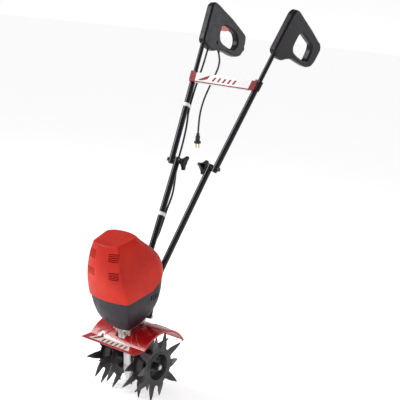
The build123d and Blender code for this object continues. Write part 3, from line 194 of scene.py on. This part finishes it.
RED = moulded("red_cowl_plastic", (0.42, 0.008, 0.002), (0.56, 0.018, 0.004), 0.42, specular=0.22)
RED_GUARD = moulded("red_guard_plastic", (0.34, 0.004, 0.006), (0.46, 0.008, 0.009), 0.24, 0.15, 0.08,
                    specular=0.4)
RED_TRIM = moulded("red_trim_paint", (0.17, 0.002, 0.004), (0.22, 0.004, 0.006), 0.45, specular=0.2)
CHARCOAL = moulded("charcoal_plastic", (0.011, 0.008, 0.013), (0.020, 0.015, 0.023), 0.42, 0.0, 0.3, 1400.0,
                   0.00018, specular=0.28)
BLACK_PLASTIC = moulded("black_grip_plastic", (0.005, 0.003, 0.006), (0.010, 0.007, 0.012), 0.34, 0.0, 0.3,
                        1600.0, 0.00015, specular=0.2)
BLACK_PAINT = moulded("black_tube_paint", (0.005, 0.003, 0.006), (0.009, 0.006, 0.011), 0.18, 0.12, 0.06,
                      300.0, 0.00006, specular=0.25)
TINE_PAINT = moulded("tine_paint", (0.014, 0.013, 0.015), (0.050, 0.047, 0.050), 0.36, 0.0, 0.2, 500.0,
                     0.0002, metallic=0.3, blotch=18.0, rough_spread=0.12, specular=0.4)
CAST = metal("cast_aluminium", (0.50, 0.50, 0.50), (0.70, 0.70, 0.69), 0.42, 90.0, (1, 1, 1), 0.0003)
STEEL = metal("zinc_steel", (0.45, 0.45, 0.47), (0.66, 0.66, 0.68), 0.30, 80.0)
GROUND = metal("ground_steel", (0.40, 0.40, 0.42), (0.56, 0.56, 0.58), 0.25, 120.0, (12, 1, 1))
COPPER = metal("enamelled_copper", (0.42, 0.13, 0.05), (0.60, 0.22, 0.09), 0.3, 200.0, (1, 1, 6))
BRONZE = metal("gear_bronze", (0.42, 0.26, 0.10), (0.58, 0.38, 0.16), 0.3, 120.0)
BRASS = metal("plug_brass", (0.55, 0.42, 0.20), (0.72, 0.58, 0.32), 0.25, 120.0)
RUBBER = moulded("black_rubber", (0.007, 0.007, 0.008), (0.013, 0.013, 0.014), 0.55, 0.0, 0.3, 900.0, 0.0002)
CORD = moulded("cord_sheath", (0.006, 0.006, 0.007), (0.011, 0.011, 0.012), 0.42, 0.0, 0.3, 500.0, 0.00012)
WHITE = moulded("white_plastic", (0.74, 0.72, 0.71), (0.82, 0.80, 0.79), 0.35)
WHITE_PAINT = moulded("white_paint", (0.62, 0.60, 0.60), (0.70, 0.68, 0.68), 0.40, specular=0.3)
LABEL_WHITE = moulded("white_label_film", (0.80, 0.70, 0.66), (0.88, 0.78, 0.73), 0.35, 0.0, 0.1, 200.0,
                      0.00003)
TRIGGER_RED = moulded("trigger_red", (0.50, 0.012, 0.012), (0.62, 0.02, 0.018), 0.28, 0.3, 0.1)

node_materials = {
    RED: ("cowl",),
    RED_GUARD: ("tine_guard",),
    CHARCOAL: ("lower_housing",),
    STEEL: ("motor_fasteners", "base_fasteners", "hitch_pins", "grip_screws", "trigger_pin",
            "trigger_spring"),
    RED_TRIM: ("brace_screws",),
    GROUND: ("motor_shaft", "worm_shaft", "drive_coupling", "bearings", "tine_axle", "stator_core",
             "armature", "motor_end_plate", "upper_motor_bracket"),
    COPPER: ("field_windings", "commutator"),
    BRONZE: ("worm_wheel", "axle_bushings"),
    RUBBER: ("oil_seals", "fold_washers", "cord_gland", "strain_relief"),
    CAST: ("gear_case_left", "gear_case_right"),
    TINE_PAINT: ("tine_wheel_outer_left", "tine_wheel_inner_left", "tine_wheel_inner_right",
                 "tine_wheel_outer_right", "fold_bolts"),
    BLACK_PAINT: ("lower_handles", "upper_handles", "grip_tubes", "handle_bracket"),
    WHITE_PAINT: ("cross_brace",),
    BLACK_PLASTIC: ("fold_knob_left", "fold_knob_right", "tube_collars", "plain_grip_inner_shell",
                    "plain_grip_outer_shell", "switch_grip_inner_shell", "switch_grip_outer_shell",
                    "brush_gear", "electrical_block",
                    "switch_module", "cooling_fan", "cord_hook", "lock_off_button"),
    TRIGGER_RED: ("trigger",),
    CORD: ("motor_cord_upper", "motor_cord_lower", "supply_lead", "plug_body"),
    BRASS: ("plug_prongs",),
    WHITE: ("cord_clip_upper", "cord_clip_lower"),
}
for material, names in node_materials.items():
    for name in names:
        node = frame["nodes"][name]
        for slot in node.material_slots:
            slot.material = material


# ---------------------------------------------------------------- places along the handles, design frame
FOLD = (96.0, 388.5, 571.0)          # the upper tube's axis at the fold bolt, operator's left
LOWER_X = 71.8                       # the lower tube's axis at the fold bolt
PITCH = math.radians(48.7)
UPPER_SPLAY = math.radians(7.6)
LOWER_SPLAY = math.radians(5.8)
GRIP_AT = 448.0
BRACE_AT = 313.0
COLLAR_RADIUS = 13.6
BRACE_PLATE = 1.8
BRACE_OUT = COLLAR_RADIUS + BRACE_PLATE   # from the tubes' axes to the brace plate's outer face
BRACE_HALF = 18.0                    # half the plate's height
BRACE_PAST_TUBE = 5.0                # how far the plate goes past the tubes' axes
BEHIND = Vector((0, math.sin(PITCH), -math.cos(PITCH)))


def handle_direction(side, splay):
    return Vector((side * math.sin(splay), math.cos(splay) * math.cos(PITCH),
                   math.cos(splay) * math.sin(PITCH)))


def upper_point(side, along):
    return Vector((side * FOLD[0], FOLD[1], FOLD[2])) + handle_direction(side, UPPER_SPLAY) * along


def lower_point(side, along):
    return Vector((side * LOWER_X, FOLD[1], FOLD[2])) + handle_direction(side, LOWER_SPLAY) * along


def beside_upper(along, inward, rearward):
    return upper_point(-1, along) + Vector((inward, 0, 0)) + BEHIND * rearward


def beside_lower(along, inward, rearward):
    return lower_point(-1, along) + Vector((inward, 0, 0)) + BEHIND * rearward


def in_right_grip(u, w):
    """A point of the switch grip's middle plane: u up along the handle, w down and back from it."""
    along = handle_direction(-1, UPPER_SPLAY)
    normal = along.cross(BEHIND).normalized()
    return upper_point(-1, GRIP_AT) + along * u + normal.cross(along) * w


# ---------------------------------------------------------------- cords
CORD_DIAMETER = 7.0


def cord_curve(name, points):
    """A smooth cord whose NURBS control points are the route's points, given in the design frame."""
    data = bpy.data.curves.new(name, "CURVE")
    data.dimensions = "3D"
    spline = data.splines.new("NURBS")
    spline.points.add(len(points) - 1)
    for point, place in zip(spline.points, points):
        point.co = (*world(*place), 1.0)
    spline.order_u = 3
    spline.use_endpoint_u = True
    spline.resolution_u = 10
    cord = bpy.data.objects.new(name, data)
    bpy.context.scene.collection.objects.link(cord)
    return cord


def thicken(cord, diameter):
    cord.data.bevel_depth = diameter / 2000.0
    cord.data.bevel_resolution = 5
    cord.data.use_fill_caps = True


def centreline(cord):
    """Points along the curve while it has no bevel, in the row frame."""
    bpy.context.view_layer.update()
    graph = bpy.context.evaluated_depsgraph_get()
    mesh = bpy.data.meshes.new_from_object(cord.evaluated_get(graph))
    points = [tuple(v.co) for v in mesh.vertices]
    bpy.data.meshes.remove(mesh)
    return points


def length_of(points):
    return sum((Vector(b) - Vector(a)).length for a, b in zip(points, points[1:]))


def make_supply_lead():
    route = ((-151.0, 756.03, 889.94), (-151.0, 769.64, 834.0), (-151.5, 762.0, 803.0),
             (-151.5, 741.0, 780.0), (-151.0, 701.0, 745.5), (-150.0, 658.0, 706.0),
             (-149.5, 628.5, 663.0), (-149.5, 613.0, 614.0), (-149.5, 603.5, 572.0))
    lead = cord_curve("supply_lead_sheath", route)
    length = length_of(centreline(lead))
    thicken(lead, CORD_DIAMETER)
    lead.data.materials.append(CORD)
    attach(lead, "folding_handles")
    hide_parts("supply_lead")
    return lead


def make_motor_cord():
    upper = [in_right_grip(18.0, 36.0), in_right_grip(-40.0, 36.0), beside_upper(345.0, 6.0, 23.0),
             beside_upper(270.0, 7.0, 14.0), beside_upper(222.0, 7.0, 12.4), beside_upper(186.0, 7.0, 12.4),
             beside_upper(140.0, 13.0, 16.0), beside_upper(75.0, 12.0, 22.0), beside_upper(15.0, 10.0, 23.0)]
    lower = [beside_upper(-15.0, 10.0, 23.0), beside_lower(-62.0, -4.0, 25.0),
             beside_lower(-120.0, 6.0, 23.0), beside_lower(-175.0, 7.0, 12.4),
             beside_lower(-219.0, 7.0, 12.4), beside_lower(-285.0, -2.0, 18.0),
             Vector((-58.0, 174.0, 314.0)), Vector((-54.0, 140.0, 272.0)), Vector((-52.0, 110.0, 250.0)),
             Vector((-52.0, 62.0, 250.0))]
    curve = cord_curve("motor_cord_line", upper + lower)
    path = centreline(curve)
    thicken(curve, CORD_DIAMETER)
    bpy.context.view_layer.update()
    graph = bpy.context.evaluated_depsgraph_get()
    mesh = bpy.data.meshes.new_from_object(curve.evaluated_get(graph))
    bpy.data.objects.remove(curve)
    cord = bpy.data.objects.new("motor_cord_sheath", mesh)
    bpy.context.scene.collection.objects.link(cord)
    mesh.materials.clear()
    mesh.materials.append(CORD)
    for face in mesh.polygons:
        face.use_smooth = True
    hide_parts("motor_cord_upper", "motor_cord_lower")
    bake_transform(cord)
    return cord


make_supply_lead()
make_motor_cord()


# ---------------------------------------------------------------- thin trim pieces
def finish_piece(name, mesh, material, body, bevel=0.0, segments=2):
    piece = bpy.data.objects.new(name, mesh)
    bpy.context.scene.collection.objects.link(piece)
    mesh.materials.append(material)
    if bevel:
        rounding = piece.modifiers.new("rounding", "BEVEL")
        rounding.width = bevel / 1000.0
        rounding.segments = segments
        rounding.limit_method = "ANGLE"
    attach(piece, body)
    return piece


def slab(bm, outline, place, depth_from, depth_to):
    """A closed plate: outline in a surface's own two lengths, place(a, b, out) its design frame point."""
    low = [bm.verts.new(world(*place(a, b, depth_from))) for a, b in outline]
    high = [bm.verts.new(world(*place(a, b, depth_to))) for a, b in outline]
    bm.faces.new(high)
    bm.faces.new(list(reversed(low)))
    count = len(outline)
    for i in range(count):
        j = (i + 1) % count
        bm.faces.new((low[i], low[j], high[j], high[i]))


def mesh_of(bm, name):
    bmesh.ops.recalc_face_normals(bm, faces=bm.faces)
    mesh = bpy.data.meshes.new(name)
    bm.to_mesh(mesh)
    bm.free()
    return mesh


def on_brace(a, b, out):
    """a across the plate, b up it, out from its outer face."""
    centre = upper_point(1, BRACE_AT)
    up = Vector((0, math.cos(PITCH), math.sin(PITCH)))
    outward = Vector((0, -math.sin(PITCH), math.cos(PITCH)))
    return Vector((a, centre.y, centre.z)) + up * b + outward * (BRACE_OUT + out)


def brace_edge(b):
    """Half the plate's width at height b."""
    return upper_point(1, BRACE_AT + b).x + BRACE_PAST_TUBE


def make_brace_trim():
    half = BRACE_HALF
    # a dark red edge runs along the plate's foot and up both ends
    bm = bmesh.new()
    inner = brace_edge(-half) - 14.0
    slab(bm, ((-inner, -half - 0.2), (inner, -half - 0.2), (inner, -half + 3.6), (-inner, -half + 3.6)),
         on_brace, -0.4, 1.0)
    for side in (-1, 1):
        foot = brace_edge(-half)
        head = brace_edge(half)
        slab(bm, ((side * (foot - 24.0), -half - 0.2), (side * (foot + 0.3), -half - 0.2),
                  (side * (head + 0.3), half), (side * (head - 24.0), half)), on_brace, -2.0, 1.2)
    finish_piece("brace_red_edge", mesh_of(bm, "brace_red_edge"), RED_TRIM, "folding_handles", 0.3)
    # a plain motif of a long wedge and slanting bars
    bm = bmesh.new()
    slab(bm, ((-106.0, -9.0), (-58.0, 14.0), (-64.0, -2.0), (-84.0, -9.0)), on_brace, -0.2, 0.25)
    for k in range(5):
        a = -44.0 + 22.0 * k
        slab(bm, ((a, -8.0), (a + 9.0, -8.0), (a + 16.0, 8.0), (a + 7.0, 8.0)), on_brace, -0.2, 0.25)
    finish_piece("brace_motif", mesh_of(bm, "brace_motif"), RED_TRIM, "folding_handles")


GUARD_OUTER = 131.0                  # outer radius of the arch about the axle
GUARD_KINK = math.radians(126.0)     # where the arch meets the front brim
BRIM_RISE = math.radians(10.0)


def on_guard(x, run, out):
    """A point off the guard's outer face: run goes forward from the kink, negative up over the arch."""
    if run <= 0:
        angle = GUARD_KINK + run / GUARD_OUTER
        return Vector((x, (GUARD_OUTER + out) * math.cos(angle), (GUARD_OUTER + out) * math.sin(angle)))
    normal = Vector((0, math.sin(BRIM_RISE), math.cos(BRIM_RISE)))
    start = Vector((x, GUARD_OUTER * math.cos(GUARD_KINK), GUARD_OUTER * math.sin(GUARD_KINK)))
    return start + Vector((0, -math.cos(BRIM_RISE), math.sin(BRIM_RISE))) * run + normal * out


def film(bm, rows, depth_from, depth_to):
    """A closed thin layer on the guard: rows of (run, left x, right x), front to back or back to front."""
    rings = []
    for run, left, right in rows:
        corners = ((left, depth_from), (right, depth_from), (right, depth_to), (left, depth_to))
        rings.append([bm.verts.new(world(*on_guard(x, run, out))) for x, out in corners])
    for one, other in zip(rings, rings[1:]):
        for i in range(4):
            j = (i + 1) % 4
            bm.faces.new((one[i], one[j], other[j], other[i]))
    bm.faces.new(rings[0])
    bm.faces.new(list(reversed(rings[-1])))


def make_guard_label():
    bm = bmesh.new()
    film(bm, ((-20.0, -78.0, -72.0), (-14.0, -80.0, -56.0), (-9.0, -81.0, -38.0), (-4.5, -83.0, 12.0),
              (0.0, -84.0, 58.0), (10.0, -87.0, 65.0), (20.0, -90.0, 73.0), (33.0, -95.0, 82.0),
              (39.0, -70.0, 86.0), (43.0, -36.0, 50.0)), -0.2, 0.35)
    finish_piece("guard_label", mesh_of(bm, "guard_label"), LABEL_WHITE, "base")
    # a plain motif: one long wedge, then slanting bars that get shorter
    bm = bmesh.new()
    film(bm, ((-12.0, -71.0, -66.0), (0.0, -72.0, -58.0), (14.0, -76.0, -62.0), (29.0, -82.0, -74.0)),
         0.2, 0.6)
    for k in range(6):
        x = -44.0 + 19.0 * k
        film(bm, ((8.0, x - 1.0, x + 6.0), (20.0, x + 1.0, x + 8.0), (31.0, x + 3.0, x + 10.0)), 0.2, 0.6)
    finish_piece("guard_label_motif", mesh_of(bm, "guard_label_motif"), RED_TRIM, "base")


def ridge(bm, start, end, width, height, steps=14):
    """A low rounded ridge pressed in the guard, from one (x, run) to another, fading out at both ends."""
    across = Vector((end[1] - start[1], start[0] - end[0]))
    across.normalize()
    rows = []
    for i in range(steps + 1):
        t = i / steps
        x = start[0] + (end[0] - start[0]) * t
        run = start[1] + (end[1] - start[1]) * t
        fade = min(1.0, 6 * t, 6 * (1 - t))
        row = []
        for j in range(7):
            f = -1 + 2 * j / 6
            rise = height * fade * math.cos(f * math.pi / 2) - 0.35
            row.append(bm.verts.new(world(*on_guard(x + across.x * width / 2 * f,
                                                    run + across.y * width / 2 * f, rise))))
        rows.append(row)
    for low, high in zip(rows, rows[1:]):
        for j in range(6):
            bm.faces.new((low[j], low[j + 1], high[j + 1], high[j]))


def make_guard_ridges():
    bm = bmesh.new()
    for side in (-1, 1):
        for start, end in (((30, -70), (96, -8)), ((30, -84), (108, -62)), ((30, -100), (108, -118)),
                           ((30, -150), (96, -190)), ((30, -64), (62, -6))):
            ridge(bm, (side * start[0], start[1]), (side * end[0], end[1]), 9.0, 2.4)
    mesh = mesh_of(bm, "guard_ridges")
    for face in mesh.polygons:
        face.use_smooth = True
    finish_piece("guard_ridges", mesh, RED_GUARD, "base")


make_brace_trim()
make_guard_label()
make_guard_ridges()


# ---------------------------------------------------------------- floor and light
def make_floor():
    mesh = bpy.data.meshes.new("floor")
    mesh.from_pydata([(-40, -40, 0), (40, -40, 0), (40, 40, 0), (-40, 40, 0)], [], [(0, 1, 2, 3)])
    floor = bpy.data.objects.new("floor", mesh)
    bpy.context.scene.collection.objects.link(floor)
    paint = moulded("floor_paint", (0.95, 0.95, 0.95), (0.97, 0.97, 0.97), 0.8, blotch=2.0, grain=60.0)
    glow = paint.node_tree.nodes["Principled BSDF"].inputs
    glow["Emission Color"].default_value = (1.0, 1.0, 1.0, 1.0)
    glow["Emission Strength"].default_value = 0.5
    floor.data.materials.append(paint)


def area_light(name, place, target, size, power, colour=(1, 1, 1)):
    data = bpy.data.lights.new(name, "AREA")
    data.shape = "RECTANGLE"
    data.size = size[0]
    data.size_y = size[1]
    data.energy = power
    data.color = colour
    light = bpy.data.objects.new(name, data)
    bpy.context.scene.collection.objects.link(light)
    direction = Vector(target) - Vector(place)
    light.matrix_world = Matrix.Translation(place) @ direction.to_track_quat("-Z", "Y").to_matrix().to_4x4()
    return light


def make_world():
    w = bpy.data.worlds.new("studio")
    w.use_nodes = True
    nodes, links = w.node_tree.nodes, w.node_tree.links
    # a bright band at the horizon and a dimmer ceiling
    parts = nodes.new("ShaderNodeSeparateXYZ")
    links.new(nodes.new("ShaderNodeTexCoord").outputs["Generated"], parts.inputs["Vector"])
    sky = ramp(nodes, links, parts.outputs["Z"],
               ((0.0, (1.0, 1.0, 1.0)), (0.08, (0.9, 0.9, 0.9)), (0.3, (0.38, 0.38, 0.38)),
                (1.0, (0.5, 0.5, 0.5))))
    links.new(sky, nodes["Background"].inputs["Color"])
    bpy.context.scene.world = w


make_floor()
make_world()
area_light("key", (-2.0, -1.9, 2.6), (0, 0, 0.5), (1.6, 1.6), 84)
area_light("fill", (0.2, -3.2, 1.0), (0, 0, 0.4), (1.4, 1.4), 8)
area_light("rim", (1.6, 2.6, 1.9), (0, 0, 0.6), (1.0, 2.2), 16)
bpy.context.scene.view_settings.view_transform = "Standard"
